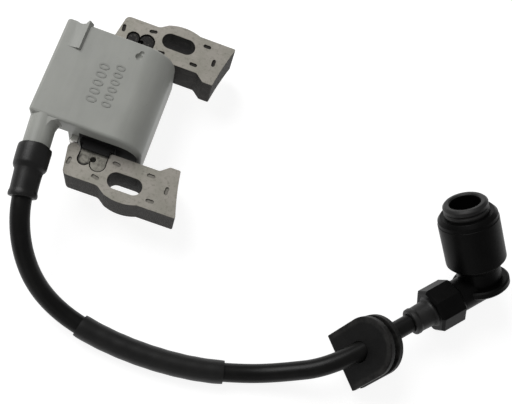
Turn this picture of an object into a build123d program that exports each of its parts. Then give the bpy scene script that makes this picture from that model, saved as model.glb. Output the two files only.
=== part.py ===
"""Ignition coil for a small engine: laminated core, potted coil case, high-tension cable, shroud grommet and plug cap.

Millimetres. The legs of the core reach along +X towards the flywheel, the lower leg is at -Y, and +Z is
square to the laminations. The coil lies on the open back of its case, which is z = 0.
"""

from build123d import *
import math
import os

os.makedirs("parts", exist_ok=True)

# ---------------------------------------------------------------- driving dimensions
# core
STACK = 16.0  # height of the lamination stack
CORE_Z = 6.0  # underside of the stack
CORE_TOP = CORE_Z + STACK
SLOT_SPACING = 60.0  # between the two mounting slots, along Y
SLOT_X = 9.2
SLOT_WIDTH = 6.4  # for an M6 screw
SLOT_LENGTH = 13.0
HALF_LENGTH = 30.6  # pole tips at +X, case end at -X
LEG_INNER_Y = 21.0
LEG_OUTER_Y = 34.0
POLE_OUTER_Y = 36.2
BOSS_Y = 37.4
SHOE_INNER_Y = 18.3
SHOE_TOE_X = 26.6
POLE_RADIUS = 110.0  # flywheel rim plus air gap
ARM_HEAD_R = 2.3
ARM_HEAD = (-12.4, 23.7)
STAKE_LENGTH, STAKE_WIDTH, STAKE_DEPTH = 3.0, 1.3, 0.5
STAKES = [(-1.5, 31.3, 12), (4.0, 24.0, 8), (19.8, 33.1, 0), (17.1, 23.9, 0), (24.2, 27.4, 90), (-12.4, 28.6, 96)]

# centre limb, and the pocket that it is pressed into at each leg
LIMB_LEFT, LIMB_RIGHT = -10.1, 0.6
LIMB_FIT = 0.1
LIMB_DROP = 0.5  # the limb's faces sit this much inside the stack
LOBE_LEFT = (-7.7, 26.1, 2.5)  # x, y and radius of the pocket's lobes
LOBE_RIGHT = (-2.4, 26.3, 3.1)
LOBE_GAP = 0.35
RIVET_HOLE = (-4.6, 25.2, 1.1)

# windings, built up round the limb
BOBBIN_WALL = 1.1
PRIMARY_DEPTH = 1.3
SECONDARY_BOBBIN_WALL = 0.7
SECONDARY_DEPTH = 1.4
PRIMARY_HALF_Y = 16.4
SECONDARY_HALF_Y = 16.6
SECTION_WALL = 0.7
SECTIONS = 6
FLANGE_LEFT, FLANGE_RIGHT = -12.2, 9.8
FLANGE_LOW, FLANGE_HIGH = 2.2, 25.6
FLANGE_ROUND = 7.0

# case
CASE_LOW_Y, CASE_HIGH_Y = -18.8, 20.1
CASE_FRONT = 32.0
CASE_WALL = 1.5
BOX_BACK = 22.0  # back of the shallow part that holds the circuit board
WELL_LEFT = -16.4  # left side of the deep part that holds the windings
WELL_WALL = 1.2
CASE_RIGHT = 11.4
FRONT_ROUND = 11.0
BACK_ROUND = 5.0
EDGE_ROUND = 1.2
RESIN_DROP = 0.4
PAD_Y = (9.2, CASE_HIGH_Y - 0.6)
PAD_OVERHANG = 0.9
PAD_END_LEFT = -23.6
SCOOP = (-25.3, 21.6, 2.4)  # x, y and radius of the hollow beside the step

# high-tension tower and its boot
TOWER_BASE = Vector(-25.1, CASE_LOW_Y, 27.0)
TOWER_YAW = 6.0
TOWER_R = 4.9
TOWER_LENGTH = 18.0
TOWER_FLARE_R = 7.4
CABLE_SEAT = 8.0  # the cable's end, measured from the case along the tower
BOOT_START, BOOT_STEP, BOOT_END = 9.6, 18.6, 28.6
BOOT_R, BOOT_SMALL_R = 5.95, 4.85

# cable
CABLE_R = 3.5
CONDUCTOR_R = 0.9
SLEEVE_R = 4.35
CABLE_AIM = 46.0  # heading of the cable's last stretch, through the grommet into the cap
CABLE_DIP = 0.8  # and how far it dips from level
GROMMET_POINT = Vector(109.9, -59.0, 14.5)

# grommet
GROMMET_WIDTH = 22.5
GROMMET_STRAIGHT = 14.8
GROMMET_THICK = 7.5
GROMMET_GROOVE = 2.5
GROMMET_FRONT = 2.4
GROMMET_GROOVE_DEPTH = 2.0
GROMMET_HOLE_UP = 10.6  # hole's centre above the flat edge
GROMMET_BORE_R = 3.6
GROMMET_EDGE = (0.62, -0.77, 0.15)
GROMMET_NORMAL = (-0.71, -0.46, 0.54)

# cap: lengths along the barrel are from the elbow's centre, and so are lengths along the arm
CAP_REACH = 57.4  # from the grommet point to the elbow's centre
CAP_LEAN = 54.5  # of the barrel from upright
BARREL_R = 11.4
BARREL_FOOT = 8.2
BARREL_START, BARREL_TOP = 11.4, 31.7
BARREL_BORE_R = 8.0
NECK_R = 8.4
NECK_TOP = 14.0
RIM_R = 10.9
RIM_LOW, RIM_HIGH = -1.0, 2.2
ARM_R = 6.4
ARM_BLOCK_R = 9.0  # to the corners
ARM_BLOCK_START, ARM_BLOCK_END = 13.4, 24.9
ARM_BLOCK_CHAMFER = 0.9
SEAL_END = 33.9
SEAL_R = 5.1
SWIVEL_CLEARANCE = 0.08
PLUG_BORE_R = 5.7
MOUTH_R = 8.4
MOUTH_END = 36.3


def save(name, shape):
    export_step(shape, f"parts/{name}.step")


def heading(degrees, pitch=0.0):
    """Unit vector at a compass angle from +X, and a pitch above level."""
    flat = math.cos(math.radians(pitch))
    turn = math.radians(degrees)
    return Vector(flat * math.cos(turn), flat * math.sin(turn), math.sin(math.radians(pitch)))


def prism(face, low, high):
    """Extrude a face drawn on XY between two heights."""
    return extrude(Pos(0, 0, low) * face, high - low)


def block(x, y, z):
    """A box from its limits along each axis."""
    size = Box(x[1] - x[0], y[1] - y[0], z[1] - z[0])
    return Pos((x[0] + x[1]) / 2, (y[0] + y[1]) / 2, (z[0] + z[1]) / 2) * size


def mirrored(shape, side):
    """A part drawn at +Y, or its mirror image at -Y."""
    return shape if side > 0 else mirror(shape, about=Plane.XZ)


TOWER_AXIS = heading(TOWER_YAW - 90.0)
TOWER = Plane(origin=TOWER_BASE, x_dir=(0, 0, 1), z_dir=TOWER_AXIS)
CABLE_AXIS = heading(CABLE_AIM, -CABLE_DIP)


# ---------------------------------------------------------------- core
def pocket(gap=0.0):
    """The two-lobed pocket in the upper leg, or with a gap the limb's end that fills it."""
    x, y, r = LOBE_LEFT
    u, v, s = LOBE_RIGHT
    neck = Pos((LIMB_LEFT + LIMB_RIGHT) / 2, (LEG_INNER_Y + y) / 2)
    shape = neck * Rectangle(LIMB_RIGHT - LIMB_LEFT - 2 * gap, y - LEG_INNER_Y)
    return shape + Pos(x, y) * Circle(r - gap) + Pos(u, v) * Circle(s - gap)


def leg(side):
    arm_x, arm_y = ARM_HEAD
    chord_mid = Vector((HALF_LENGTH + SHOE_TOE_X) / 2, (POLE_OUTER_Y + SHOE_INNER_Y) / 2)
    chord = math.hypot(HALF_LENGTH - SHOE_TOE_X, POLE_OUTER_Y - SHOE_INNER_Y)
    hollow = chord**2 / (8 * POLE_RADIUS)
    corners = {
        "arm_right": (arm_x + ARM_HEAD_R, arm_y),
        "arm_left": (arm_x - ARM_HEAD_R, arm_y),
        "outer_left": (-12.9, LEG_OUTER_Y),
        "boss_foot": (0.2, LEG_OUTER_Y),
        "boss_start": (3.2, 36.2),
        "boss_end": (15.9, POLE_OUTER_Y),
        "tip": (HALF_LENGTH, POLE_OUTER_Y),
        "toe": (SHOE_TOE_X, SHOE_INNER_Y),
        "shoe": (22.6, SHOE_INNER_Y),
        "waist": (19.4, LEG_INNER_Y),
        "neck": (LIMB_RIGHT, LEG_INNER_Y),
        "neck_in": (LIMB_RIGHT, LOBE_LEFT[1]),
        "arm_in": (arm_x + ARM_HEAD_R, LOBE_LEFT[1]),
    }
    c = corners
    outline = [
        ThreePointArc(c["arm_right"], (arm_x, arm_y - ARM_HEAD_R), c["arm_left"]),
        Line(c["arm_left"], c["outer_left"]),
        Line(c["outer_left"], c["boss_foot"]),
        Line(c["boss_foot"], c["boss_start"]),
        ThreePointArc(c["boss_start"], (SLOT_X, BOSS_Y), c["boss_end"]),
        Line(c["boss_end"], c["tip"]),
        ThreePointArc(c["tip"], (chord_mid.X - hollow, chord_mid.Y), c["toe"]),
        Line(c["toe"], c["shoe"]),
        Line(c["shoe"], c["waist"]),
        Line(c["waist"], c["neck"]),
        Line(c["neck"], c["neck_in"]),
        Line(c["neck_in"], c["arm_in"]),
        Line(c["arm_in"], c["arm_right"]),
    ]
    face = make_face(Curve() + outline)
    for name, radius in (("outer_left", 2.0), ("boss_foot", 3.0), ("boss_start", 2.0), ("tip", 0.6), ("toe", 0.6),
                         ("shoe", 1.5), ("waist", 2.0), ("neck", 0.8)):
        near = face.vertices().sort_by_distance((*c[name], 0))[0]
        face = fillet(near, radius)
    face -= pocket()
    face -= Pos(SLOT_X, SLOT_SPACING / 2) * SlotOverall(SLOT_LENGTH, SLOT_WIDTH)
    solid = prism(face, CORE_Z, CORE_TOP)
    for x, y, turn in STAKES:
        stake = Pos(x, y) * Rot(0, 0, turn) * SlotOverall(STAKE_LENGTH, STAKE_WIDTH)
        solid -= prism(stake, CORE_TOP - STAKE_DEPTH, CORE_TOP + 1)
        solid -= prism(stake, CORE_Z - 1, CORE_Z + STAKE_DEPTH / 2)
    return mirrored(solid, side)


def centre_limb():
    middle = Pos((LIMB_LEFT + LIMB_RIGHT) / 2, 0)
    face = middle * Rectangle(LIMB_RIGHT - LIMB_LEFT - 2 * LIMB_FIT, 2 * LEG_INNER_Y)
    x, y, r = RIVET_HOLE
    for side in (1, -1):
        end = pocket(LOBE_GAP) - Pos(x, y) * Circle(r)
        face += end if side > 0 else mirror(end, about=Plane.XZ)
    return prism(face, CORE_Z + LIMB_DROP, CORE_TOP - LIMB_DROP)


# ---------------------------------------------------------------- windings
def ring_round_limb(inner, outer, y_low, y_high):
    """A square tube along Y, its inner and outer faces this far from the limb."""
    x = (LIMB_LEFT, LIMB_RIGHT)
    z = (CORE_Z, CORE_TOP)
    body = block((x[0] - outer, x[1] + outer), (y_low, y_high), (z[0] - outer, z[1] + outer))
    hole = block((x[0] - inner, x[1] + inner), (y_low - 1, y_high + 1), (z[0] - inner, z[1] + inner))
    return body - hole


def end_flange_face():
    """The bobbin's end plate, which closes the window in each end of the case."""
    width = FLANGE_RIGHT - FLANGE_LEFT
    height = FLANGE_HIGH - FLANGE_LOW
    middle = ((FLANGE_LEFT + FLANGE_RIGHT) / 2, 0, (FLANGE_LOW + FLANGE_HIGH) / 2)
    plane = Plane(origin=middle, x_dir=(1, 0, 0), z_dir=(0, -1, 0))
    face = Rectangle(width, height)
    right = face.vertices().sort_by(Axis.X)[-2:]
    face = fillet(right, FLANGE_ROUND)
    return plane * face


def primary_bobbin():
    tube = ring_round_limb(0.0, BOBBIN_WALL, -LEG_INNER_Y + 0.1, LEG_INNER_Y - 0.1)
    hole = block((LIMB_LEFT, LIMB_RIGHT), (CASE_LOW_Y - 1, CASE_HIGH_Y + 1), (CORE_Z, CORE_TOP))
    for side, outer_y in ((1, CASE_HIGH_Y), (-1, CASE_LOW_Y)):
        plate = extrude(end_flange_face(), -side * CASE_WALL)
        plate = Pos(0, outer_y - side * CASE_WALL, 0) * plate
        tube += plate - hole
        lip_y = sorted((side * (LEG_INNER_Y - 1.0), side * (LEG_INNER_Y + 1.8)))
        lip_z = (CORE_TOP, CORE_TOP + BOBBIN_WALL)
        tube += block((LIMB_LEFT + 0.2, LIMB_RIGHT - 0.2), lip_y, lip_z)
    return tube


def primary_winding():
    return ring_round_limb(BOBBIN_WALL, BOBBIN_WALL + PRIMARY_DEPTH, -PRIMARY_HALF_Y, PRIMARY_HALF_Y)


SECONDARY_IN = BOBBIN_WALL + PRIMARY_DEPTH
SECONDARY_FLOOR = SECONDARY_IN + SECONDARY_BOBBIN_WALL


def section_walls():
    pitch = (2 * SECONDARY_HALF_Y - SECTION_WALL) / SECTIONS
    return [-SECONDARY_HALF_Y + i * pitch for i in range(SECTIONS + 1)]


def secondary_bobbin():
    tube = ring_round_limb(SECONDARY_IN, SECONDARY_FLOOR, -SECONDARY_HALF_Y, SECONDARY_HALF_Y)
    for y in section_walls():
        tube += ring_round_limb(SECONDARY_FLOOR, SECONDARY_FLOOR + SECONDARY_DEPTH + 0.2, y, y + SECTION_WALL)
    return tube


def secondary_winding():
    walls = section_walls()
    return [
        ring_round_limb(SECONDARY_FLOOR, SECONDARY_FLOOR + SECONDARY_DEPTH, low + SECTION_WALL, high)
        for low, high in zip(walls, walls[1:])
    ]


# ---------------------------------------------------------------- case
def case_section(inset, well_inset):
    """Outline of the case along Y: a shallow box over a deep well, with the front edge rolled over at +X."""
    left, right = -HALF_LENGTH + inset, CASE_RIGHT - inset
    front, back = CASE_FRONT - inset, BOX_BACK + inset
    well = WELL_LEFT + well_inset
    low = 0.0 if inset == 0 else -1.0
    points = [(left, back), (left, front), (right, front), (right, low), (well, low), (well, back)]
    face = make_face(Polyline(*points, close=True))
    near = face.vertices().sort_by_distance((right, front, 0))[0]
    face = fillet(near, FRONT_ROUND - inset)
    if inset == 0:
        near = face.vertices().sort_by_distance((right, low, 0))[0]
        face = fillet(near, BACK_ROUND)
        near = face.vertices().sort_by_distance((left, front, 0))[0]
        face = fillet(near, EDGE_ROUND)
        near = face.vertices().sort_by_distance((left, back, 0))[0]
        face = fillet(near, EDGE_ROUND)
    return face


def along_y(face, low, high):
    """Extrude a face drawn as (x, z) along Y."""
    plane = Plane(origin=(0, high, 0), x_dir=(1, 0, 0), z_dir=(0, -1, 0))
    return extrude(plane * face, high - low)


def step_pad():
    """The rise on the front face that ends in a steep step, and stands a little past the case's edge."""
    ridge = [(-27.6, 31.95), (-24.6, 32.3), (-22.5, 33.2), (-21.2, 31.0), (-24.6, 30.0)]
    face = make_face(Polyline(*ridge, close=True))
    pad = along_y(face, *PAD_Y) & block((-30, -20), PAD_Y, (CASE_FRONT - 0.6, 40))
    end_y = (CASE_HIGH_Y - 3.0, CASE_HIGH_Y + PAD_OVERHANG)
    end = along_y(face, *end_y) & block((PAD_END_LEFT, -20), end_y, (20, 40))
    return pad + end


def edge_scoop():
    """Hollow in the case's edge beside the step."""
    x, y, r = SCOOP
    return Pos(x, y, CASE_FRONT) * Cylinder(r, 8.0)


def case():
    body = along_y(case_section(0.0, 0.0), CASE_LOW_Y, CASE_HIGH_Y)
    rims = body.edges().filter_by(Plane.XZ).filter_by(lambda e: e.center().Z > BOX_BACK + 1)
    rims = rims.filter_by(lambda e: min(e.center().Y - CASE_LOW_Y, CASE_HIGH_Y - e.center().Y) < 0.01)
    body = fillet(rims, EDGE_ROUND)
    body += step_pad()
    body -= edge_scoop()
    tower = TOWER * extrude(Circle(TOWER_R), TOWER_LENGTH)
    tower += TOWER * extrude(Circle(TOWER_R), -2.0)
    flare_edge = Polyline((0, 0), (TOWER_FLARE_R, 0), (TOWER_R + 0.7, 1.3), (TOWER_R, 3.4), (0, 3.4), close=True)
    flare = TOWER * revolve(Plane.XZ * make_face(flare_edge), Axis.Z)
    flare &= block((TOWER_BASE.X + 1.8, 0), (-40, 0), (BOX_BACK, CASE_FRONT - 0.4))
    body += tower + flare
    body -= along_y(case_section(CASE_WALL, WELL_WALL), CASE_LOW_Y + CASE_WALL, CASE_HIGH_Y - CASE_WALL)
    for side, outer_y in ((1, CASE_HIGH_Y), (-1, CASE_LOW_Y)):
        window = extrude(end_flange_face(), -side * (CASE_WALL + 1))
        body -= Pos(0, outer_y - side * CASE_WALL, 0) * window
    body -= TOWER * Pos(0, 0, CABLE_SEAT) * extrude(Circle(CABLE_R), TOWER_LENGTH)
    body -= TOWER * extrude(Circle(PIN_R), 2 * CABLE_SEAT, both=True)
    body -= earth_tab()
    body -= stop_terminal()
    dimple = Pos(-1.6, 14.6, CASE_FRONT + 0.1) * Sphere(1.4)
    dimple += Pos(-1.0, 16.2, CASE_FRONT + 0.2) * Sphere(1.0)
    return body - dimple


# ---------------------------------------------------------------- electrics inside the case
PIN_R = 0.8


def tower_pin():
    """Spike that the cable is pushed onto, with a head inside the case."""
    edge = Polyline((0, -4.4), (2.0, -4.4), (2.0, -3.4), (PIN_R, -3.4), (PIN_R, 10.8), (0.1, 12.0), (0, 12.0), close=True)
    return TOWER * revolve(Plane.XZ * make_face(edge), Axis.Z)


def high_tension_lead():
    """Wire from the first section of the secondary to the pin's head."""
    start = Vector(-14.2, -13.9, 27.0)
    end = Vector(TOWER_BASE.X, -13.9, TOWER_BASE.Z + 1.2)
    return Plane(origin=start, z_dir=end - start) * extrude(Circle(0.4), (end - start).length)


def circuit_board():
    return block((-28.4, -17.0), (-13.0, 15.5), (24.2, 25.7))


def drive_transistor():
    body = block((-27.0, -17.6), (-4.0, 5.0), (25.7, 29.8))
    return body + block((-27.0, -17.6), (5.0, 10.5), (25.7, 27.0))


def board_capacitor():
    return Pos(-22.5, 12.9, 28.0) * Rot(0, 90, 0) * Cylinder(1.9, 9.0)


def board_diode():
    return Pos(-22.0, -8.5, 27.0) * Rot(0, 90, 0) * Cylinder(1.3, 6.0)


def earth_tab():
    """Tinned strip from the board, bent down against the inner side of the lower leg."""
    strip = block((-15.0, -12.3), (CASE_LOW_Y - 2.3, CASE_LOW_Y + 1.9), (20.6, 21.6))
    return strip + block((-15.0, -12.3), (CASE_LOW_Y - 2.3, CASE_LOW_Y - 1.5), (14.0, 20.6))


def stop_terminal():
    """Blade for the stop-switch wire, under the shallow part of the case."""
    blade = block((-24.0, -15.0), (6.0, 10.8), (12.0, 12.8))
    return blade - Pos(-21.2, 8.4, 12.4) * Cylinder(0.9, 3.0)


def potting_resin(inner_parts):
    fill = along_y(case_section(CASE_WALL, WELL_WALL), CASE_LOW_Y + CASE_WALL, CASE_HIGH_Y - CASE_WALL)
    fill &= block((-HALF_LENGTH, CASE_RIGHT), (CASE_LOW_Y, CASE_HIGH_Y), (RESIN_DROP, CASE_FRONT))
    fill -= block((LIMB_LEFT, LIMB_RIGHT), (CASE_LOW_Y, CASE_HIGH_Y), (CORE_Z, CORE_TOP))
    for part in inner_parts:
        fill -= part
    largest = fill.solids().sort_by(SortBy.VOLUME)[-1]
    return largest


# ---------------------------------------------------------------- cable
def along_tower(distance):
    return TOWER_BASE + TOWER_AXIS * distance


def along_cable_end(distance):
    return GROMMET_POINT + CABLE_AXIS * distance


CABLE_ROUTE = [
    along_tower(CABLE_SEAT),
    along_tower(24.0),
    Vector(-20.3, -54.6, 25.2),
    Vector(-15.2, -65.4, 19.8),
    Vector(-7.6, -73.6, 12.2),
    Vector(3.2, -79.0, 6.0),
    Vector(18.2, -82.5, 4.4),
    Vector(37.0, -83.9, 4.4),
    Vector(56.5, -82.6, 4.4),
    Vector(73.5, -78.4, 4.4),
    Vector(85.5, -74.2, 6.8),
    along_cable_end(-11.4),
    along_cable_end(20.0) - Vector(0, 0, 0.05),  # all but straight
    along_cable_end(49.0),
]
SLEEVE_FROM, SLEEVE_TO = 6, 8  # the sleeve's own bends; it ends in the middle of the runs beyond them


def arc_radii(points):
    """One radius for each inner point: 0.45 of its shorter run over the tangent of half its turn."""
    radii = []
    for before, at, after in zip(points, points[1:], points[2:]):
        half_turn = math.radians((at - before).get_angle(after - at)) / 2
        shorter = min((at - before).length, (after - at).length)
        radii.append(0.45 * shorter / math.tan(half_turn))
    return radii


def tube(points, radii, outer, inner=0.0):
    path = FilletPolyline(*points, radius=radii)
    section = Circle(outer)
    if inner:
        section -= Circle(inner)
    start = Plane(origin=points[0], z_dir=points[1] - points[0])
    return sweep(start * section, path=path), path


def check_volume(name, solid, path, outer, inner=0.0):
    wanted = math.pi * (outer**2 - inner**2) * path.length
    print(f"{name}: length {path.length:.1f} mm, volume {solid.volume:.0f} of {wanted:.0f} mm3")


def cable_parts():
    radii = arc_radii(CABLE_ROUTE)
    print("cable radii", [round(r, 1) for r in radii])
    print("cable runs", [round((b - a).length, 1) for a, b in zip(CABLE_ROUTE, CABLE_ROUTE[1:])])
    insulation, path = tube(CABLE_ROUTE, radii, CABLE_R, CONDUCTOR_R)
    check_volume("hv_cable", insulation, path, CABLE_R, CONDUCTOR_R)
    core_route = [along_tower(12.0), *CABLE_ROUTE[1:-1], along_cable_end(41.0)]
    conductor, core_path = tube(core_route, radii, CONDUCTOR_R)
    check_volume("cable_conductor", conductor, core_path, CONDUCTOR_R)
    first = (CABLE_ROUTE[SLEEVE_FROM - 1] + CABLE_ROUTE[SLEEVE_FROM]) * 0.5
    last = (CABLE_ROUTE[SLEEVE_TO] + CABLE_ROUTE[SLEEVE_TO + 1]) * 0.5
    sleeve_route = [first, *CABLE_ROUTE[SLEEVE_FROM:SLEEVE_TO + 1], last]
    sleeve_radii = radii[SLEEVE_FROM - 1:SLEEVE_TO]
    sleeve, sleeve_path = tube(sleeve_route, sleeve_radii, SLEEVE_R, CABLE_R)
    check_volume("cable_sleeve", sleeve, sleeve_path, SLEEVE_R, CABLE_R)
    return insulation, conductor, sleeve


def tower_boot():
    """Rubber boot over the tower's end and the cable, in two steps with soft rims."""
    outer = Polyline(
        (TOWER_R, BOOT_START), (BOOT_R - 0.3, BOOT_START), (BOOT_R, BOOT_START + 0.8), (BOOT_R, BOOT_STEP - 1.6),
        (BOOT_SMALL_R, BOOT_STEP), (BOOT_SMALL_R - 0.1, BOOT_END - 2.4), (BOOT_SMALL_R + 0.25, BOOT_END - 1.6),
        (BOOT_SMALL_R + 0.2, BOOT_END - 0.4), (BOOT_SMALL_R - 0.2, BOOT_END), (CABLE_R, BOOT_END),
        (CABLE_R, TOWER_LENGTH), (TOWER_R, TOWER_LENGTH), close=True,
    )
    return TOWER * revolve(Plane.XZ * make_face(outer), Axis.Z)


# ---------------------------------------------------------------- grommet
def grommet_outline(inset=0.0):
    half = GROMMET_WIDTH / 2 - inset
    top = GROMMET_STRAIGHT
    edges = [
        Line((-half, 0), (half, 0)),
        Line((half, 0), (half, top)),
        ThreePointArc((half, top), (0, top + half), (-half, top)),
        Line((-half, top), (-half, 0)),
    ]
    return make_face(Curve() + edges)


def shroud_grommet():
    """Tombstone-shaped rubber plate, flanged on both faces, that the cable passes through at a slant."""
    edge = Vector(*GROMMET_EDGE).normalized()
    normal = Vector(*GROMMET_NORMAL).normalized()
    edge = (edge - normal * edge.dot(normal)).normalized()
    up = normal.cross(edge)
    plane = Plane(origin=GROMMET_POINT - up * GROMMET_HOLE_UP, x_dir=edge, z_dir=normal)
    front = extrude(grommet_outline(), -GROMMET_FRONT)
    front = fillet(front.edges().filter_by(Plane.XY).group_by(Axis.Z)[-1], 0.5)
    web = Pos(0, 0, -GROMMET_FRONT) * extrude(grommet_outline(GROMMET_GROOVE_DEPTH), -GROMMET_GROOVE)
    rear_depth = GROMMET_THICK - GROMMET_FRONT - GROMMET_GROOVE
    rear = Pos(0, 0, -GROMMET_FRONT - GROMMET_GROOVE) * extrude(grommet_outline(), -rear_depth)
    rear = fillet(rear.edges().filter_by(Plane.XY).group_by(Axis.Z)[0], 0.5)
    body = plane * (front + web + rear)
    bore = Plane(origin=along_cable_end(-20), z_dir=CABLE_AXIS) * extrude(Circle(GROMMET_BORE_R), 60)
    return body - bore


# ---------------------------------------------------------------- cap
ELBOW = along_cable_end(CAP_REACH)
BARREL_AXIS = heading(CABLE_AIM + 90.0, 90.0 - CAP_LEAN)
BARREL_AXIS = (BARREL_AXIS - CABLE_AXIS * BARREL_AXIS.dot(CABLE_AXIS)).normalized()
CAP = Plane(origin=ELBOW, x_dir=CABLE_AXIS * -1, z_dir=BARREL_AXIS)
ARM = Plane(origin=(0, 0, 0), x_dir=(0, 1, 0), z_dir=(1, 0, 0))


def turned(points):
    """Solid of revolution about Z from (radius, height) points."""
    return revolve(Plane.XZ * make_face(Polyline(*points, close=True)), Axis.Z)


def cap_elbow():
    """Moulding that holds the contacts: a neck with a flange, round at the back, and an eight-sided block on the arm."""
    neck = turned([
        (0, RIM_LOW), (RIM_R - 0.8, RIM_LOW), (RIM_R, RIM_LOW + 0.8), (RIM_R, RIM_HIGH - 0.6), (RIM_R - 0.6, RIM_HIGH),
        (NECK_R, RIM_HIGH), (NECK_R, NECK_TOP), (0, NECK_TOP),
    ])
    neck += Sphere(ARM_R)
    arm = ARM * turned([(0, 0), (ARM_R, 0), (ARM_R, ARM_BLOCK_START + 2.0), (0, ARM_BLOCK_START + 2.0)])
    block_face = RegularPolygon(ARM_BLOCK_R, 8)
    arm_block = Pos(0, 0, ARM_BLOCK_START) * extrude(block_face, ARM_BLOCK_END - ARM_BLOCK_START)
    ends = arm_block.edges().filter_by(Axis.Z, reverse=True)
    body = neck + arm + ARM * chamfer(ends, ARM_BLOCK_CHAMFER)
    body -= turned([(0, -8.0), (4.0, -8.0), (4.0, -2.9), (4.5, -2.9), (4.5, NECK_TOP + 1), (0, NECK_TOP + 1)])
    body -= ARM * turned([(0, 0), (3.8, 0), (3.8, 16.0), (6.2, 16.0), (6.2, ARM_BLOCK_END + 1), (0, ARM_BLOCK_END + 1)])
    return CAP * body


def cap_barrel():
    """Tube pressed over the elbow's neck, with a chamfer at its foot and a shoulder at its mouth."""
    return CAP * turned([
        (NECK_R, BARREL_FOOT), (BARREL_R, BARREL_START), (BARREL_R, BARREL_TOP - 3.0),
        (BARREL_R - 0.25, BARREL_TOP - 2.9), (BARREL_R - 0.25, BARREL_TOP - 1.5), (BARREL_R - 1.4, BARREL_TOP),
        (BARREL_BORE_R, BARREL_TOP), (BARREL_BORE_R, NECK_TOP), (NECK_R, NECK_TOP),
    ])


def cap_plug_seal():
    lip = PLUG_BORE_R + 0.5
    return CAP * turned([
        (lip, 16.0), (BARREL_BORE_R - 1.0, 16.0), (BARREL_BORE_R, 17.0), (BARREL_BORE_R, BARREL_TOP),
        (MOUTH_R, BARREL_TOP), (MOUTH_R, BARREL_TOP + 1.0),
        (MOUTH_R - 0.5, BARREL_TOP + 1.6), (MOUTH_R, BARREL_TOP + 2.4), (MOUTH_R, MOUTH_END - 0.9),
        (MOUTH_R - 0.9, MOUTH_END), (PLUG_BORE_R + 0.6, MOUTH_END), (PLUG_BORE_R, MOUTH_END - 0.7),
        (PLUG_BORE_R, 21.0), (lip, 20.0),
    ])


def cap_cable_seal():
    bore = CABLE_R + SWIVEL_CLEARANCE
    return CAP * (ARM * turned([
        (bore, 16.3), (6.2, 16.3), (6.2, ARM_BLOCK_END), (SEAL_R + 0.3, ARM_BLOCK_END), (SEAL_R, ARM_BLOCK_END + 1.0),
        (SEAL_R - 0.25, SEAL_END - 2.6), (SEAL_R + 0.1, SEAL_END - 1.8), (SEAL_R, SEAL_END - 0.4),
        (SEAL_R - 0.5, SEAL_END), (bore, SEAL_END),
    ]))


def cap_end_plug():
    plug = turned([(0, -5.3), (3.4, -5.3), (3.9, -4.8), (3.9, -3.0), (0, -3.0)])
    return CAP * (plug - Pos(0, 0, -5.3) * Box(6.0, 1.2, 1.6))


def cap_contact():
    """Brass block in the elbow with the screw that enters the cable's end."""
    head = turned([(0, -2.4), (3.2, -2.4), (3.2, 2.4), (0, 2.4)])
    screw = ARM * turned([(0, 2.0), (0.6, 2.0), (0.6, 14.2), (0.1, 15.4), (0, 15.4)])
    return CAP * (head + screw)


def cap_contact_spring():
    coil = Helix(pitch=0.9, height=2.2, radius=2.0)
    start = coil.edge()
    section = Plane(origin=start @ 0, z_dir=start % 0) * Circle(0.28)
    return CAP * (Pos(0, 0, 2.75) * sweep(section, path=coil))


def cap_resistor():
    return CAP * turned([(0, 5.4), (2.4, 5.4), (2.8, 5.8), (2.8, 11.2), (2.4, 11.6), (0, 11.6)])


def cap_terminal_clip():
    clip = turned([(0, 11.7), (4.3, 11.7), (4.3, 19.0), (3.4, 19.0), (3.4, 12.7), (0, 12.7)])
    return CAP * (clip - Pos(0, 0, 16.6) * Box(12, 0.8, 6.0))


# ---------------------------------------------------------------- build
def main():
    save("core_leg_upper", leg(1))
    save("core_leg_lower", leg(-1))
    save("core_centre_limb", centre_limb())
    inner = {
        "primary_bobbin": primary_bobbin(),
        "primary_winding": primary_winding(),
        "secondary_bobbin": secondary_bobbin(),
        "secondary_winding": Compound(secondary_winding()),
        "tower_pin": tower_pin(),
        "high_tension_lead": high_tension_lead(),
        "circuit_board": circuit_board(),
        "drive_transistor": drive_transistor(),
        "board_capacitor": board_capacitor(),
        "board_diode": board_diode(),
        "earth_tab": earth_tab(),
        "stop_terminal": stop_terminal(),
    }
    for name, shape in inner.items():
        save(name, shape)
    save("potting_resin", potting_resin(inner.values()))
    save("coil_case", case())
    save("tower_boot", tower_boot())
    insulation, conductor, sleeve = cable_parts()
    save("hv_cable", insulation)
    save("cable_conductor", conductor)
    save("cable_sleeve", sleeve)
    save("shroud_grommet", shroud_grommet())
    save("cap_elbow", cap_elbow())
    save("cap_barrel", cap_barrel())
    save("cap_plug_seal", cap_plug_seal())
    save("cap_cable_seal", cap_cable_seal())
    save("cap_end_plug", cap_end_plug())
    save("cap_contact", cap_contact())
    save("cap_contact_spring", cap_contact_spring())
    save("cap_resistor", cap_resistor())
    save("cap_terminal_clip", cap_terminal_clip())


main()
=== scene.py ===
import math

import bmesh
import bpy
from mathutils import Matrix, Quaternion, Vector


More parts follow.
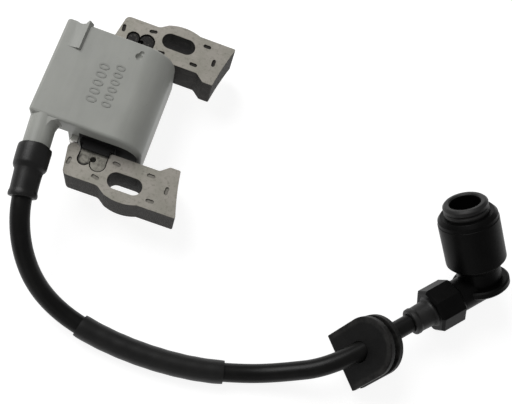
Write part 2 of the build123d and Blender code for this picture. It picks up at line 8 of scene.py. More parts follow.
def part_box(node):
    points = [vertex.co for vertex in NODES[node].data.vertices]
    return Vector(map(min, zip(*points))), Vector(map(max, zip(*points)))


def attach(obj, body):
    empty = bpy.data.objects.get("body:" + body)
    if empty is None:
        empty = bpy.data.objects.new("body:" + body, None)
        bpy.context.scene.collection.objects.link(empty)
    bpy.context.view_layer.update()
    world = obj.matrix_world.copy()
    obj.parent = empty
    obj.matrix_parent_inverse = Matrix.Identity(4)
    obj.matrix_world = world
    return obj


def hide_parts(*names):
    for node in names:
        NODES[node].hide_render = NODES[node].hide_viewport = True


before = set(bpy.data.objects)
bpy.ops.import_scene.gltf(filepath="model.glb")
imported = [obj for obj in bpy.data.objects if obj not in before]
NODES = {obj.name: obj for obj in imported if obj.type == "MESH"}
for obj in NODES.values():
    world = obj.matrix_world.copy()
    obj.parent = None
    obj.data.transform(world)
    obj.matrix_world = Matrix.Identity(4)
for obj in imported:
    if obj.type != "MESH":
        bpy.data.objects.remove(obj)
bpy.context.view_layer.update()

MM = 0.001

# The cable's route, from its seat in the coil's tower to its end in the plug cap.
CABLE_ROUTE = [
    (-0.024264, -0.026756, 0.0270),
    (-0.022591, -0.042669, 0.0270),
    (-0.0203, -0.0546, 0.0252),
    (-0.0152, -0.0654, 0.0198),
    (-0.0076, -0.0736, 0.0122),
    (0.0032, -0.0790, 0.0060),
    (0.0182, -0.0825, 0.0044),
    (0.0370, -0.0839, 0.0044),
    (0.0565, -0.0826, 0.0044),
    (0.0735, -0.0784, 0.0044),
    (0.0855, -0.0742, 0.0068),
    (0.101982, -0.067200, 0.014659),
    (0.123792, -0.044615, 0.014171),
    (0.143935, -0.023756, 0.013816),
]
CABLE_RADIUS = 3.5 * MM
BARREL_AXIS = Vector((-0.580013, 0.571383, 0.580609))
SEAT_DEPTH = 8.0 * MM  # from the case's wall to the cable's seat

# The grommet's headings: out of its front face, along its flat edge, and from that edge to its arch.
GROMMET_NORMAL = Vector((-0.71, -0.46, 0.54)).normalized()
NEAR_EDGE = Vector((0.62, -0.77, 0.15))
GROMMET_EDGE = (NEAR_EDGE - GROMMET_NORMAL * NEAR_EDGE.dot(GROMMET_NORMAL)).normalized()
GROMMET_RISE = GROMMET_NORMAL.cross(GROMMET_EDGE)
# The centre of its arch, in millimetres.
GROMMET_ARCH = Vector((109.9, -59.0, 14.5)) + GROMMET_RISE * 4.2

# Heights of the top of the laminated stack, the case's front face and, in millimetres, the stakes' floors.
STACK_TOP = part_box("core_leg_upper")[1].z
FACE_Z = STACK_TOP + 10.0 * MM
STAKE_FLOOR = STACK_TOP / MM - 0.5

SHEET_PITCH = 0.5  # thickness of one lamination, in millimetres
WIRE_PITCH = 0.3  # spacing of the winding's turns, in millimetres
LOBE_X, LOBE_Y = -7.7, -26.1  # middle of the limb's exposed lobe, in millimetres
COAT_ROUGHNESS = 0.1
RING_POINTS = 56  # points round the boot's and the sleeve's rings


# ---------------------------------------------------------------- finishes
class Value:
    """A number that varies over a surface. Arithmetic on it adds Math nodes to its finish."""

    def __init__(self, finish, socket):
        self.finish = finish
        self.socket = socket

    def math(self, operation, *others):
        return self.finish.value("ShaderNodeMath", {"operation": operation}, [self, *others])

    def __add__(self, other):
        return self.math("ADD", other)

    def __radd__(self, other):
        return self.math("ADD", other)

    def __sub__(self, other):
        return self.math("SUBTRACT", other)

    def __rsub__(self, other):
        return (self * -1.0) + other

    def __mul__(self, other):
        return self.math("MULTIPLY", other)

    def __rmul__(self, other):
        return self.math("MULTIPLY", other)

    def __pow__(self, other):
        return self.math("POWER", other)

    def __abs__(self):
        return self.math("ABSOLUTE")

    def higher(self, other):
        return self.math("MAXIMUM", other)

    def step(self, low, high):
        """0 below low and 1 above high, with a smooth turn between them."""
        inputs = {0: self, 1: low, 2: high, 3: 0.0, 4: 1.0}
        return self.finish.value("ShaderNodeMapRange", {"interpolation_type": "SMOOTHSTEP"}, inputs)


class Finish:
    """One material, its Principled shader and the nodes that vary it."""

    def __init__(self, name, roughness, metallic=0.0, specular=0.5, coat=0.0):
        self.material = bpy.data.materials.new(name)
        self.material.use_nodes = True
        self.tree = self.material.node_tree
        self.tree.nodes.clear()
        self.shader = self.tree.nodes.new("ShaderNodeBsdfPrincipled")
        output = self.tree.nodes.new("ShaderNodeOutputMaterial")
        self.tree.links.new(self.shader.outputs["BSDF"], output.inputs["Surface"])
        self.set("Roughness", roughness)
        self.set("Metallic", metallic)
        self.set("Specular IOR Level", specular)
        self.set("Coat Weight", coat)
        self.set("Coat Roughness", COAT_ROUGHNESS)
        self.coordinates = self.tree.nodes.new("ShaderNodeTexCoord")
        self.point = Value(self, self.coordinates.outputs["Object"])

    def put(self, socket, value):
        if isinstance(value, Value):
            self.tree.links.new(value.socket, socket)
        elif isinstance(value, (tuple, list, Vector)) and len(socket.default_value) == 4:
            socket.default_value = (*value[:3], 1.0)
        else:
            socket.default_value = value

    def node(self, kind, settings=None, inputs=()):
        """A node of that type: its settings first, then the values or links of its sockets."""
        made = self.tree.nodes.new(kind)
        for name, value in (settings or {}).items():
            setattr(made, name, value)
        pairs = inputs.items() if isinstance(inputs, dict) else enumerate(inputs)
        for key, value in pairs:
            self.put(made.inputs[key], value)
        return made

    def value(self, kind, settings=None, inputs=(), output=0):
        return Value(self, self.node(kind, settings, inputs).outputs[output])

    def set(self, name, value):
        self.put(self.shader.inputs[name], value)

    def axes(self):
        """The place along X, Y and Z, in millimetres."""
        split = self.node("ShaderNodeSeparateXYZ", None, [self.point])
        return [Value(self, socket) * 1000.0 for socket in split.outputs]

    def facing(self):
        """The surface's normal along X, Y and Z."""
        normal = Value(self, self.coordinates.outputs["Normal"])
        split = self.node("ShaderNodeSeparateXYZ", None, [normal])
        return [Value(self, socket) for socket in split.outputs]

    def noise(self, size, detail=3.0, roughness=0.5, stretch=None, turn=(0.0, 0.0, 0.0)):
        """Cloudy noise whose patches are about this many millimetres across, drawn out by stretch."""
        place = self.point
        if stretch:
            inputs = {"Vector": self.point, "Rotation": turn, "Scale": [1.0 / s for s in stretch]}
            place = self.value("ShaderNodeMapping", {"vector_type": "POINT"}, inputs)
        inputs = {"Vector": place, "Scale": 1000.0 / size, "Detail": detail, "Roughness": roughness}
        return self.value("ShaderNodeTexNoise", None, inputs)

    def cells(self, size, feature="F1"):
        """Distances from scattered points, or from the lines between them, this many millimetres apart."""
        inputs = {"Vector": self.point, "Scale": 1000.0 / size}
        return self.value("ShaderNodeTexVoronoi", {"feature": feature}, inputs)

    def mix(self, factor, first, second):
        """The first colour where the factor is 0 and the second where it is 1."""
        settings = {"data_type": "RGBA"}
        return self.value("ShaderNodeMix", settings, {0: factor, 6: first, 7: second}, output=2)

    def bump(self, height, depth):
        """Relief from a height of 0 to 1, this many millimetres deep."""
        inputs = {"Strength": 1.0, "Distance": depth * MM, "Height": height}
        self.set("Normal", self.value("ShaderNodeBump", None, inputs))


def grey(level, warmth):
    """Nearly neutral, and a little browner with warmth."""
    return (level * (1.0 + warmth), level, level * (1.0 - 1.6 * warmth))


def toned(shade, *colour):
    """A colour with every part of it scaled by the shade."""
    return tuple(part * shade for part in colour)


def case_moulding(name, shade=1.0):
    """Satin grey moulding, with faint clouding, fine grain and handling marks; the shade darkens all of it,
    and on the raised marks that darkening is painted shade.
    """
    finish = Finish(name, 0.46, specular=0.2)
    cloud = finish.noise(14.0, 3.0)
    flow = finish.noise(3.0, 4.0, stretch=(1.0, 6.0, 1.0), turn=(0.0, 0.0, 0.5))
    grain = finish.noise(0.35, 2.0)
    scuff = finish.noise(2.2, 5.0, 0.7).step(0.62, 0.74)
    dark, light = toned(shade, 0.270, 0.275, 0.256), toned(shade, 0.298, 0.303, 0.281)
    clouded = finish.mix(cloud.step(0.3, 0.7), dark, light)
    flowed = finish.mix(flow.step(0.35, 0.75) * 0.35, clouded, toned(shade, 0.327, 0.330, 0.310))
    finish.set("Base Color", finish.mix(scuff * 0.25, flowed, toned(shade, 0.21, 0.212, 0.194)))
    finish.set("Roughness", 0.36 + cloud * 0.12 + scuff * 0.1)
    finish.bump(grain * 0.6 + flow * 0.4, 0.03)
    return finish.material


def stamped_steel(shade):
    """Laminations: mottled oxide on the faces, and a dark brown edge with a line for each sheet; the edge's
    darkness is partly painted shade, and the stakes' floors carry painted shade.
    """
    finish = Finish("stamped_steel", 0.5, metallic=0.35, specular=0.22)
    _, y, z = finish.axes()
    flat = abs(finish.facing()[2]).step(0.55, 0.8)
    cloud = finish.noise(7.0, 4.0, 0.6)
    mottle = finish.noise(1.3, 5.0, 0.65)
    fleck = finish.noise(0.45, 3.0, 0.6)
    scratch = finish.noise(0.5, 3.0, stretch=(9.0, 0.7, 1.0), turn=(0.0, 0.0, 0.35)).step(0.6, 0.72)
    dark, light = toned(shade, 0.30, 0.288, 0.250), toned(shade, 0.345, 0.325, 0.290)
    warm = finish.mix(cloud.step(0.35, 0.65), dark, light)
    spotted = finish.mix(mottle.step(0.5, 0.72) * 0.55, warm, toned(shade, 0.17, 0.16, 0.135))
    pale = finish.mix(fleck.step(0.6, 0.75) * 0.35, spotted, toned(shade, 0.5, 0.48, 0.44))
    face = finish.mix(scratch * 0.3, pale, toned(shade, 0.48, 0.47, 0.43))
    # Painted shade: the stakes' floors are darkened, much more on the upper leg than on the lower.
    stake_floor_shade = (z - STAKE_FLOOR).step(-0.2, -0.1) * (1.0 - (z - STAKE_FLOOR).step(0.1, 0.25))
    face = finish.mix(stake_floor_shade * (0.35 + y.step(-5.0, 5.0) * 0.6), face, (0.012, 0.011, 0.010))
    sheet = (z * (math.tau / SHEET_PITCH)).math("SINE")
    ragged = finish.noise(0.8, 3.0, stretch=(6.0, 6.0, 0.5))
    edge_tone = (sheet * 0.18 + ragged * 0.9).step(0.25, 0.85)
    # The sides' brown edge colour is partly real cut-edge tone and partly painted shade: it is kept far
    # darker than the faces so that the sides look shaded.
    edge = finish.mix(edge_tone, (0.012, 0.0105, 0.009), (0.038, 0.034, 0.030))
    rubbed = finish.noise(2.5, 3.0).step(0.55, 0.75) * 0.35
    edge = finish.mix(rubbed, edge, (0.068, 0.061, 0.055))
    finish.set("Base Color", finish.mix(flat, edge, face))
    finish.set("Metallic", flat * 0.25 + 0.2)
    finish.set("Roughness", 0.62 - flat * 0.1 + mottle * 0.12)
    relief = flat * (mottle * 0.5 + fleck * 0.3) + (1.0 - flat) * (sheet * 0.35 + ragged * 0.6)
    finish.bump(relief, 0.06)
    return finish.material


def bare_edge():
    """The rubbed corners of the stack, brighter than its faces."""
    finish = Finish("bare_edge", 0.38, metallic=0.6)
    patch = finish.noise(1.1, 4.0, 0.6)
    finish.set("Base Color", finish.mix(patch.step(0.35, 0.65), (0.22, 0.21, 0.185), (0.62, 0.60, 0.55)))
    finish.set("Roughness", 0.3 + patch * 0.25)
    finish.bump(patch, 0.04)
    return finish.material


def limb_face():
    """The centre limb: the same steel, darker and glossier at the end farthest from the tower, with lighter
    flakes there.
    """
    finish = Finish("limb_face", 0.5, metallic=0.3, specular=0.25)
    x, y, _ = finish.axes()
    mottle = finish.noise(1.0, 5.0, 0.65)
    cloud = finish.noise(3.5, 3.0)
    steel = finish.mix(mottle.step(0.4, 0.7), (0.27, 0.26, 0.225), (0.135, 0.128, 0.11))
    far_end_dark = (y + cloud * 5.0 - 2.5).step(19.0, 22.0)
    flake = finish.noise(0.9, 4.0, 0.65).step(0.56, 0.66)
    far_end_colour = finish.mix(flake * 0.8, (0.004, 0.0035, 0.003), (0.075, 0.070, 0.060))
    lobe = ((x - LOBE_X) ** 2.0 + (y - LOBE_Y) ** 2.0).math("SQRT")
    corner = (1.0 - x.step(-6.2, -5.4)) * (1.0 - y.step(-26.0, -24.0))
    shadow = (lobe + cloud * 0.8).step(1.5, 2.3) * corner
    steel = finish.mix(shadow * 0.85, steel, (0.012, 0.011, 0.010))
    finish.set("Base Color", finish.mix(far_end_dark, steel, far_end_colour))
    finish.set("Roughness", 0.55 - far_end_dark * 0.2 + mottle * 0.1)
    finish.bump(mottle, 0.06)
    return finish.material


def moulded_black(name, level, roughness, grain=0.4, depth=0.03, specular=0.4, dust=0.25):
    """Black plastic or rubber: fine grain, a soft bloom in patches and a little dust."""
    finish = Finish(name, roughness, specular=specular)
    bloom = finish.noise(6.0, 4.0, 0.6)
    grit = finish.noise(grain, 2.0)
    speck = finish.noise(0.5, 3.0, 0.7).step(0.66, 0.76)
    base = finish.mix(bloom.step(0.3, 0.7), grey(level, 0.01), grey(level * 1.6, 0.02))
    finish.set("Base Color", finish.mix(speck * dust, base, grey(level * 4.0, 0.03)))
    finish.set("Roughness", roughness - 0.06 + bloom * 0.14)
    finish.bump(grit * 0.7 + bloom * 0.3, depth)
    return finish.material


def grommet_rubber():
    """Black rubber with a dusty, chafed band round its arched edge."""
    finish = Finish("grommet_rubber", 0.48, specular=0.14)
    place = finish.axes()

    def along(heading):
        parts = [(a - c) * h for a, c, h in zip(place, GROMMET_ARCH, heading)]
        return parts[0] + parts[1] + parts[2]

    across, rise = along(GROMMET_EDGE), along(GROMMET_RISE).higher(0.0)
    radius = (across * across + rise * rise).math("SQRT")
    bloom = finish.noise(4.0, 4.0, 0.65)
    grit = finish.noise(0.45, 2.0)
    chafe = radius.step(8.6, 9.8) * bloom.step(0.3, 0.65)
    base = finish.mix(bloom.step(0.3, 0.7), grey(0.0025, 0.01), grey(0.0045, 0.02))
    finish.set("Base Color", finish.mix(chafe, base, grey(0.016, 0.03)))
    finish.set("Roughness", 0.44 + bloom * 0.14)
    finish.bump(grit * 0.7 + bloom * 0.3, 0.05)
    return finish.material


def drawn_rubber(name, level, roughness):
    """The cable's jacket: faint die lines along it, smudges and dust. UV runs along the cable."""
    finish = Finish(name, roughness, specular=0.16)
    uv = Value(finish, finish.coordinates.outputs["UV"])
    drawn = {"Vector": uv, "Scale": (12.0, 30.0, 1.0)}
    place = finish.value("ShaderNodeMapping", {"vector_type": "POINT"}, drawn)
    lines = finish.value("ShaderNodeTexNoise", None, {"Vector": place, "Scale": 3.0, "Detail": 3.0})
    smudge = finish.noise(9.0, 4.0, 0.6)
    speck = finish.noise(0.6, 3.0, 0.7).step(0.64, 0.76)
    base = finish.mix(smudge.step(0.3, 0.7), grey(level, 0.02), grey(level * 1.7, 0.03))
    finish.set("Base Color", finish.mix(speck * 0.3, base, grey(level * 4.5, 0.03)))
    finish.set("Roughness", roughness - 0.08 + smudge * 0.18)
    finish.bump(lines * 0.6 + finish.noise(0.4, 2.0) * 0.4, 0.03)
    return finish.material


def potting():
    """Black resin, poured level: glossy, with slow waves, small craters and dust."""
    finish = Finish("potting", 0.2, specular=0.5, coat=0.3)
    wave = finish.noise(11.0, 2.0)
    crater = finish.cells(3.4).step(0.02, 0.14)
    dust = finish.noise(0.5, 4.0, 0.7).step(0.62, 0.75)
    finish.set("Base Color", finish.mix(dust * 0.4, (0.012, 0.012, 0.013), (0.07, 0.068, 0.062)))
    finish.set("Roughness", 0.14 + dust * 0.35 + wave * 0.12)
    finish.bump(wave * 0.8 + crater * 0.2, 0.25)
    return finish.material


def plated(name, low, high, roughness):
    """Bright metal parts: drawn or plated, with fine lines and a dull patch here and there."""
    finish = Finish(name, roughness, metallic=1.0)
    lines = finish.noise(0.25, 3.0, stretch=(8.0, 1.0, 1.0))
    dull = finish.noise(1.8, 3.0).step(0.45, 0.7)
    finish.set("Base Color", finish.mix(dull, high, low))
    finish.set("Roughness", roughness + dull * 0.18 + lines * 0.08)
    finish.bump(lines, 0.01)
    return finish.material


def wound_wire():
    """Enamelled copper, wound in close turns round the limb."""
    finish = Finish("wound_wire", 0.35, metallic=0.8)
    turns = (finish.axes()[1] * (math.tau / WIRE_PITCH)).math("SINE")
    tint = finish.noise(4.0, 3.0)
    finish.set("Base Color", finish.mix(tint, (0.42, 0.16, 0.06), (0.62, 0.27, 0.11)))
    finish.bump(turns * 0.5 + 0.5, 0.08)
    return finish.material


def board_laminate():
    """Green board with faint copper tracks."""
    finish = Finish("board_laminate", 0.4, coat=0.2)
    tracks = finish.cells(2.6, "DISTANCE_TO_EDGE").step(0.04, 0.08)
    finish.set("Base Color", finish.mix(tracks, (0.03, 0.13, 0.06), (0.02, 0.075, 0.035)))
    finish.bump(tracks, 0.03)
    return finish.material


def fired_ceramic():
    """The resistor's pale body."""
    finish = Finish("fired_ceramic", 0.6)
    speck = finish.noise(0.4, 4.0, 0.6)
    finish.set("Base Color", finish.mix(speck.step(0.4, 0.7), (0.72, 0.70, 0.64), (0.56, 0.54, 0.48)))
    finish.bump(speck, 0.02)
    return finish.material


FINISHES = {
    "case": case_moulding("case_moulding"),
    # The raised marks: the same moulding, darkened as painted shade on the letters' strokes.
    "mark": case_moulding("raised_marks_painted_shade", 0.82),
    "steel": stamped_steel(0.9),
    "bare_edge": bare_edge(),
    "limb": limb_face(),
    "bobbin": moulded_black("bobbin_black", 0.004, 0.5, specular=0.2),
    "potting": potting(),
    "wire": wound_wire(),
    "board": board_laminate(),
    "component": moulded_black("component_epoxy", 0.018, 0.35),
    "brass": plated("turned_brass", (0.48, 0.33, 0.12), (0.78, 0.58, 0.24), 0.28),
    "tin": plated("tinned_strip", (0.42, 0.41, 0.38), (0.72, 0.71, 0.67), 0.32),
    "spring": plated("spring_steel", (0.35, 0.35, 0.35), (0.62, 0.62, 0.62), 0.25),
    "ceramic": fired_ceramic(),
    "boot": moulded_black("boot_rubber", 0.006, 0.42, grain=0.5, depth=0.05, specular=0.27),
    "cable": drawn_rubber("cable_rubber", 0.0035, 0.36),
    "sleeve": moulded_black("sleeve_rubber", 0.0055, 0.42, grain=0.9, depth=0.05, specular=0.28),
    "grommet": grommet_rubber(),
    "cap": moulded_black("cap_phenolic", 0.0014, 0.38, grain=0.6, depth=0.035, specular=0.075),
    # The bore: the seal's rubber made darker and duller, painted shade inside the hole.
    "bore": moulded_black("bore_painted_shade", 0.0008, 0.6, specular=0.05, dust=0.0),
    "seal": moulded_black("seal_rubber", 0.007, 0.45, grain=0.4, depth=0.03, specular=0.28),
}
HIDDEN_PARTS = {
    "primary_winding": "wire",
    "secondary_bobbin": "bobbin",
    "secondary_winding": "wire",
    "high_tension_lead": "wire",
    "circuit_board": "board",
    "drive_transistor": "component",
    "board_capacitor": "component",
    "board_diode": "component",
    "tower_pin": "brass",
    "cable_conductor": "wire",
    "cap_contact": "brass",
    "cap_contact_spring": "spring",
    "cap_resistor": "ceramic",
    "cap_terminal_clip": "spring",
}


def wear(piece, *names):
    piece.data.materials.clear()
    for name in names:
        piece.data.materials.append(FINISHES[name])


# ---------------------------------------------------------------- mesh helpers
def shade_by_area(mesh, limit):
    """Corner normals weighted by the area of the faces round them, so that large flat faces shade flat.

    Only faces whose normals are within the limit, a cosine, of each other are joined."""
    around = [[] for _ in mesh.vertices]
    for polygon in mesh.polygons:
        for index in polygon.vertices:
            around[index].append((polygon.normal.copy(), polygon.area))
    normals = [Vector((0.0, 0.0, 1.0))] * len(mesh.loops)
    for polygon in mesh.polygons:
        for corner in polygon.loop_indices:
            total = Vector()
            for normal, area in around[mesh.loops[corner].vertex_index]:
                if normal.dot(polygon.normal) > limit:
                    total += normal * area
            normals[corner] = total.normalized()
    mesh.normals_split_custom_set(normals)


def new_piece(name, bm, body, *finishes, smooth=35.0):
    """A mesh piece from a bmesh, riding on a body, smooth up to an angle."""
    mesh = bpy.data.meshes.new(name)
    bm.to_mesh(mesh)
    bm.free()
    for polygon in mesh.polygons:
        polygon.use_smooth = True
    mesh.set_sharp_from_angle(angle=math.radians(smooth))
    shade_by_area(mesh, math.cos(math.radians(smooth)))
    piece = bpy.data.objects.new(name, mesh)
    bpy.context.scene.collection.objects.link(piece)
    wear(piece, *finishes)
    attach(piece, body)
    return piece


def merged(node):
    """A CAD node as one joined shell of flat faces."""
    bm = bmesh.new()
    bm.from_mesh(NODES[node].data)
    bmesh.ops.remove_doubles(bm, verts=bm.verts, dist=0.002 * MM)
    bmesh.ops.dissolve_limit(bm, angle_limit=math.radians(0.6), verts=bm.verts, edges=bm.edges)
    return bm


def sharp_edges(bm, degrees):
    """The edges whose two faces turn by more than that angle."""
    limit = math.radians(degrees)
    return [e for e in bm.edges if len(e.link_faces) == 2 and e.calc_face_angle() > limit]


def eased(node, name, body, slot, *finishes, width=0.0, degrees=35.0, segments=2, edge_slot=-1):
    """Stands for a CAD node: the same shape with its hard corners rounded off, width in millimetres."""
    bm = merged(node)
    if width:
        bmesh.ops.bevel(bm, geom=sharp_edges(bm, degrees), offset=width * MM, offset_type="OFFSET",
                        affect="EDGES", segments=segments, profile=0.5, clamp_overlap=True,
                        material=edge_slot)
    piece = new_piece(name, bm, body, *finishes)
    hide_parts(node)
    return piece


def plain_mesh(source):
    """The mesh that an object makes, as it stands."""
    bpy.context.view_layer.update()
    return bpy.data.meshes.new_from_object(source.evaluated_get(bpy.context.evaluated_depsgraph_get()))


def spline_line(curve_object):
    """Points along a curve's own line, read from its spline."""
    plain = curve_object.copy()
    plain.data = curve_object.data.copy()
    plain.data.bevel_depth = 0.0
    bpy.context.scene.collection.objects.link(plain)
    points = [v.co.copy() for v in plain_mesh(plain).vertices]
    bpy.data.objects.remove(plain)
    return points


class Track:
    """A line that rings can be set on, by distance from its start."""

    def __init__(self, points):
        self.points = points
        self.marks = [0.0]
        for a, b in zip(points, points[1:]):
            self.marks.append(self.marks[-1] + (b - a).length)

    def at(self, distance):
        """The point at that distance and the heading there, also a little beyond either end."""
        last = len(self.marks) - 2
        i = max(0, min(last, sum(m <= distance for m in self.marks) - 1))
        a, b = self.points[i], self.points[i + 1]
        heading = (b - a).normalized()
        return a + heading * (distance - self.marks[i]), heading

    def nearest(self, point):
        return min(zip(self.marks, self.points), key=lambda pair: (pair[1] - point).length)[0]


def ringed(track, profile, ripple):
    """A shell of rings round a track, from (distance, radius) pairs. Ripple shifts their points along it."""
    bm = bmesh.new()
    rings = []
    for distance, radius in profile:
        centre, heading = track.at(distance)
        turn = heading.to_track_quat("Z", "Y").to_matrix().to_4x4()
        made = bmesh.ops.create_circle(bm, segments=RING_POINTS, radius=radius, cap_ends=False)
        for vert in made["verts"]:
            vert.co.z += ripple(math.atan2(vert.co.y, vert.co.x), distance)
        bmesh.ops.transform(bm, matrix=Matrix.Translation(centre) @ turn, verts=made["verts"])
        rings.append(made["verts"])
    rings.append(rings[0])
    for lower, upper in zip(rings, rings[1:]):
        edges = [edge for ring in (lower, upper) for edge in edges_within(ring)]
        bmesh.ops.bridge_loops(bm, edges=edges)
    bmesh.ops.recalc_face_normals(bm, faces=bm.faces)
    return bm


def edges_within(verts):
    """The closed run of edges that joins a ring's points."""
    ring = set(verts)
    return {edge for vert in verts for edge in vert.link_edges if edge.other_vert(vert) in ring}


# ---------------------------------------------------------------- coil
def make_core():
    for side in ("upper", "lower"):
        eased(f"core_leg_{side}", f"leg_{side}_stack", "coil", "laminations", "steel", "bare_edge",
              width=0.22, segments=1, edge_slot=1)
    eased("core_centre_limb", "centre_limb_stack", "coil", "limb_steel", "limb", "bare_edge",
          width=0.15, segments=1, edge_slot=0)


def make_case():
    eased("coil_case", "case_shell", "coil", "case_plastic", "case", width=0.25, degrees=50.0, segments=2)
    eased("potting_resin", "potting_fill", "coil", "resin", "potting")
    # The flanges' near-black finish fills the gap between the case and the lower leg: partly a real black
    # bobbin, partly painted shade where that gap holds only shadow.
    eased("primary_bobbin", "bobbin_flanges_and_gap_shade", "coil", "bobbin_plastic", "bobbin", width=0.2, segments=1)
    eased("earth_tab", "earth_strip", "coil", "tinned_metal", "tin", width=0.15, segments=2)
    eased("stop_terminal", "stop_blade", "coil", "tinned_metal", "tin", width=0.12, segments=2)


# Each row's place along X and Y, its letters' height, all in millimetres, and its text.
CODE_ROWS = ((-11.6, -0.5, 4.0, "00000"), (-6.0, 0.2, 3.6, "000000"))
FONT_SIZE = 1.35  # for each unit of a letter's height
LETTER_SPACING = 1.25
LETTER_RELIEF = 0.18 * MM
LETTER_SWELL = 0.05 * MM


def make_code_marks():
    """Two rows of raised noughts on the front face."""
    for number, (x, y, height, text) in enumerate(CODE_ROWS, 1):
        curve = bpy.data.curves.new(f"code_row_{number}", "FONT")
        curve.body = text
        curve.size = height * FONT_SIZE * MM
        curve.space_character = LETTER_SPACING
        curve.extrude = LETTER_RELIEF
        curve.offset = LETTER_SWELL
        curve.align_x = "CENTER"
        curve.align_y = "CENTER"
        letters = bpy.data.objects.new(f"code_row_{number}", curve)
        bpy.context.scene.collection.objects.link(letters)
        mesh = plain_mesh(letters)
        bpy.data.objects.remove(letters)
        place = Matrix.Translation((x * MM, y * MM, FACE_Z)) @ Matrix.Rotation(math.radians(90), 4, "Z")
        mesh.transform(place)
        bm = bmesh.new()
        bm.from_mesh(mesh)
        # The noughts wear the moulding darkened as painted shade.
        new_piece(f"code_marks_{number}", bm, "coil", "mark")


# ---------------------------------------------------------------- cable and what is on it
def make_cable():
    curve = bpy.data.curves.new("cable_jacket", "CURVE")
    curve.dimensions = "3D"
    curve.resolution_u = 24
    curve.bevel_depth = CABLE_RADIUS
    curve.bevel_resolution = 10
    curve.use_fill_caps = True
    spline = curve.splines.new("NURBS")
    spline.points.add(len(CABLE_ROUTE) - 1)
    for point, place in zip(spline.points, CABLE_ROUTE):
        point.co = (*place, 1.0)
    spline.order_u = 3
    spline.use_endpoint_u = True
    cable = bpy.data.objects.new("cable_jacket", curve)
    bpy.context.scene.collection.objects.link(cable)
    curve.materials.append(FINISHES["cable"])
    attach(cable, "coil")
    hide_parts("hv_cable")
    return cable


SLEEVE_RADIUS = 4.35 * MM
SLEEVE_RINGS = 60
SLEEVE_GAP = 0.02 * MM  # between the sleeve and the cable
SLEEVE_WAVE, SLEEVE_WAVE_RATE = 0.03 * MM, 900.0  # height, and radians for each metre
SLEEVE_END_EASE = 0.12 * MM
SLANT, SLANT_FADE = 0.35 * MM, 6.0 * MM


def make_sleeve(track):
    """Loose protective sleeve along the lowest stretch of the cable, its ends cut a little askew."""
    start = track.nearest((Vector(CABLE_ROUTE[5]) + Vector(CABLE_ROUTE[6])) / 2)
    end = track.nearest((Vector(CABLE_ROUTE[8]) + Vector(CABLE_ROUTE[9])) / 2) + 1.0 * MM
    steps = [start + (end - start) * i / SLEEVE_RINGS for i in range(SLEEVE_RINGS + 1)]
    profile = [(start, SLEEVE_RADIUS - SLEEVE_END_EASE)]
    profile += [(s, SLEEVE_RADIUS + SLEEVE_WAVE * math.sin(SLEEVE_WAVE_RATE * s)) for s in steps[1:-1]]
    profile += [(end, SLEEVE_RADIUS - SLEEVE_END_EASE)]
    profile += [(s, CABLE_RADIUS + SLEEVE_GAP) for s in reversed(steps)]

    def slant(angle, distance):
        near_end = max(0.0, 1.0 - abs(distance - end) / SLANT_FADE)
        near_start = max(0.0, 1.0 - abs(distance - start) / SLANT_FADE)
        return SLANT * math.cos(angle + 1.0) * (near_end + near_start)

    sleeve = new_piece("sleeve_tube", ringed(track, profile, ripple=slant), "coil", "sleeve")
    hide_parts("cable_sleeve")
    return sleeve


# The boot's section: distance from the case's wall and radius, in millimetres, outside and then inside.
BOOT_OUTSIDE = [
    (10.9, 4.95), (10.7, 5.35), (10.75, 5.75), (11.2, 5.95), (12.4, 6.05), (15.0, 6.02), (17.6, 5.98),
    (18.4, 5.88), (19.0, 5.6), (19.5, 5.2), (20.0, 5.0), (21.5, 4.9), (24.5, 4.84), (27.0, 4.8),
    (27.6, 4.9), (28.1, 5.08), (28.9, 5.1), (29.4, 4.98), (29.6, 4.7),
]
BOOT_INSIDE = [(29.6, 3.6), (24.0, 3.6), (19.0, 3.6), (13.0, 4.9)]
BOOT_STEP = 19.0 * MM
BOOT_TAIL = 26.0 * MM
RIPPLE_FADE = 2.0 * MM


def make_boot(track):
    """Rubber boot over the tower: a full upper part, a soft step and a narrower tail, with uneven rims."""
    base = -SEAT_DEPTH
    profile = [(base + d * MM, r * MM) for d, r in BOOT_OUTSIDE + BOOT_INSIDE]
    rim_start = profile[0][0]
    tail_end = profile[len(BOOT_OUTSIDE) - 1][0]

    def ripple(angle, distance):
        rim = max(0.0, 1.0 - (distance - rim_start) / RIPPLE_FADE)
        step = max(0.0, 1.0 - abs(distance - base - BOOT_STEP) / RIPPLE_FADE)
        tail = max(0.0, 1.0 - (tail_end - distance) / RIPPLE_FADE) if distance > base + BOOT_TAIL else 0.0
        wave = math.sin(3.0 * angle + 0.6) * 0.22 + math.sin(5.0 * angle) * 0.1
        return MM * (wave * min(rim, 1.0) + 0.35 * math.sin(2.0 * angle + 1.2) * step + 0.25 * wave * tail)

    boot = new_piece("tower_boot_rubber", ringed(track, profile, ripple=ripple), "coil", "boot", smooth=50.0)
    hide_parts("tower_boot")
    return boot


def make_grommet():
    return eased("shroud_grommet", "grommet_plate", "grommet", "grommet_rubber", "grommet",
                 width=0.3, degrees=50.0, segments=3)


BORE_REACH = 6.5 * MM  # no face of the bore is farther from its axis
BORE_INWARD = 0.8  # how squarely a face has to look at the axis


def paint_bore_shade(piece):
    """Gives the bore's finish, darker and duller than the seal as painted shade inside the hole, to the
    faces that look towards the seal's own axis.
    """
    centre = sum((v.co for v in piece.data.vertices), Vector()) / len(piece.data.vertices)
    for polygon in piece.data.polygons:
        across = polygon.center - centre
        across -= BARREL_AXIS * across.dot(BARREL_AXIS)
        inward = -polygon.normal.dot(across.normalized())
        if inward > BORE_INWARD and across.length < BORE_REACH:
            polygon.material_index = 1


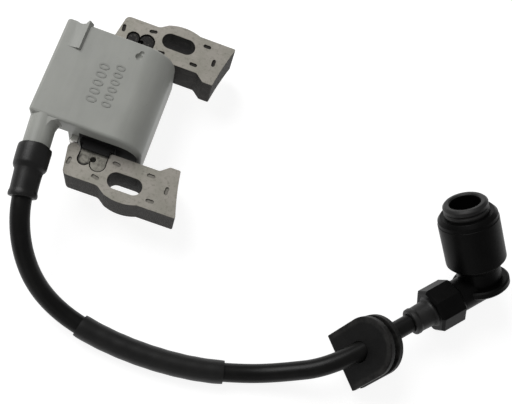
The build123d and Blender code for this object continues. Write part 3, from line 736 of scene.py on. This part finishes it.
def make_cap():
    """The plug cap: elbow, barrel, the seals at its mouth and on the cable, and its end disc."""
    elbow = eased("cap_elbow", "cap_elbow_moulding", "cap", "cap_plastic", "cap", width=0.25, degrees=25.0)
    barrel = eased("cap_barrel", "cap_barrel_moulding", "cap", "cap_plastic", "cap", width=0.3, degrees=20.0)
    mouth = eased("cap_plug_seal", "cap_mouth_seal", "cap", "boot_rubber", "seal", "bore",
                  width=0.2, degrees=25.0)
    paint_bore_shade(mouth)
    cuff = eased("cap_cable_seal", "cap_cable_cuff", "cap", "boot_rubber", "seal", width=0.2, degrees=25.0)
    plug = eased("cap_end_plug", "cap_end_disc", "cap", "cap_plastic", "cap", width=0.2, degrees=25.0)
    return [elbow, barrel, mouth, cuff, plug]


# ---------------------------------------------------------------- stage
FLOOR_HALF = 3.0  # metres from its middle to its sides
FLOOR_GREY = (0.3, 0.3, 0.3)
FLOOR_GLOW = 0.85
WHITE = (1.0, 1.0, 1.0)
LIT_PLACE = (0.05, -0.02, 0.0)
# Each light's name, place and diameter, in metres, and its power.
LIGHTS = (
    ("key", (-0.45, 0.30, 0.65), 0.6, 6.0),
    ("fill", (0.6, 0.15, 0.6), 0.8, 0.1),
    ("low_side", (0.1, -0.7, 0.35), 0.6, 0.25),
)
SKY_STRENGTH = 0.30
CAMERA_AZIMUTH, CAMERA_ELEVATION, CAMERA_ROLL = -12.1, 71.17, 30.9  # degrees
CAMERA_TARGET = Vector((0.05755, -0.01459, 0.006))
CAMERA_DISTANCE = 0.31202
SENSOR_WIDTH, LENS_LENGTH = 36.0, 56.26  # millimetres
CLIP_START = 0.01


def make_floor():
    """A pale floor with a glow of its own, so that it stays nearly white."""
    bm = bmesh.new()
    bmesh.ops.create_grid(bm, x_segments=1, y_segments=1, size=FLOOR_HALF)
    mesh = bpy.data.meshes.new("floor")
    bm.to_mesh(mesh)
    bm.free()
    floor = bpy.data.objects.new("floor", mesh)
    bpy.context.scene.collection.objects.link(floor)
    pale = Finish("pale_floor", 0.9, specular=0.1)
    pale.set("Base Color", FLOOR_GREY)
    pale.set("Emission Color", WHITE)
    pale.set("Emission Strength", FLOOR_GLOW)
    mesh.materials.append(pale.material)


def area_light(name, place, size, power):
    """A round lamp aimed at the object."""
    light = bpy.data.lights.new(name, "AREA")
    light.shape = "DISK"
    light.size = size
    light.energy = power
    lamp = bpy.data.objects.new(name, light)
    bpy.context.scene.collection.objects.link(lamp)
    lamp.location = place
    lamp.rotation_mode = "QUATERNION"
    lamp.rotation_quaternion = (Vector(LIT_PLACE) - Vector(place)).to_track_quat("-Z", "Y")


def make_lights():
    for name, place, size, power in LIGHTS:
        area_light(name, place, size, power)
    world = bpy.data.worlds.new("studio")
    world.use_nodes = True
    background = world.node_tree.nodes["Background"]
    background.inputs["Color"].default_value = (*WHITE, 1.0)
    background.inputs["Strength"].default_value = SKY_STRENGTH
    bpy.context.scene.world = world
    bpy.context.scene.view_settings.view_transform = "Standard"


def make_camera():
    """From above and in front, turned so that the coil leans to the left of the frame."""
    azimuth, elevation = math.radians(CAMERA_AZIMUTH), math.radians(CAMERA_ELEVATION)
    back = Vector((math.sin(azimuth) * math.cos(elevation), -math.cos(azimuth) * math.cos(elevation),
                   math.sin(elevation)))
    camera = bpy.data.objects.new("camera", bpy.data.cameras.new("camera"))
    bpy.context.scene.collection.objects.link(camera)
    camera.location = CAMERA_TARGET + back * CAMERA_DISTANCE
    camera.rotation_mode = "QUATERNION"
    roll = Quaternion((0, 0, 1), math.radians(CAMERA_ROLL))
    camera.rotation_quaternion = (-back).to_track_quat("-Z", "Y") @ roll
    camera.data.sensor_width = SENSOR_WIDTH
    camera.data.lens = LENS_LENGTH
    camera.data.clip_start = CLIP_START
    bpy.context.scene.camera = camera


# ---------------------------------------------------------------- build
for node, finish in HIDDEN_PARTS.items():
    wear(NODES[node], finish)
make_core()
make_case()
make_code_marks()
cable = make_cable()
cable_line = Track(spline_line(cable))
sleeve = make_sleeve(cable_line)
boot = make_boot(cable_line)
grommet = make_grommet()
cap_pieces = make_cap()
make_floor()
make_lights()
make_camera()
